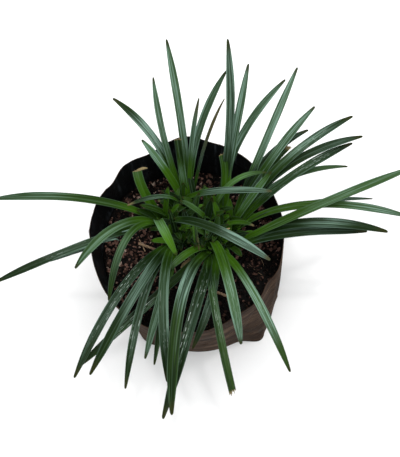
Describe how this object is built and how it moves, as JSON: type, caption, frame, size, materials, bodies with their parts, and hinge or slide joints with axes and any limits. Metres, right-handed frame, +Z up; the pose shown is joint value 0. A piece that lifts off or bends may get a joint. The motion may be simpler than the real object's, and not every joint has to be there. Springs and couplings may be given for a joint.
{
  "type": "potted mondo grass",
  "caption": "Clump of strap-leaved mondo grass growing in potting mix, in a soft black film nursery bag that stands on its flat bottom.",
  "frame": {"origin": "on the bag's flat bottom, midway between the middle of the bottom and the middle of the open mouth, which lie 9 mm apart in X because the soft bag leans", "axes": "+Z up out of the mouth, -Y towards the picture's near side, +X to the picture's right"},
  "size_m": [0.3421, 0.2824, 0.1976],
  "materials": {
    "bag_film": "satin",
    "potting_mix": "matte",
    "leaf": "satin"
  },
  "bodies": {
    "root": {"polybag": "bag_film", "soil": "potting_mix", "shoot_left": "leaf", "shoot_back": "leaf", "shoot_middle": "leaf", "shoot_right": "leaf", "shoot_right_front": "leaf", "shoot_front": "leaf", "shoot_front_left": "leaf"}
  },
  "joints": []
}
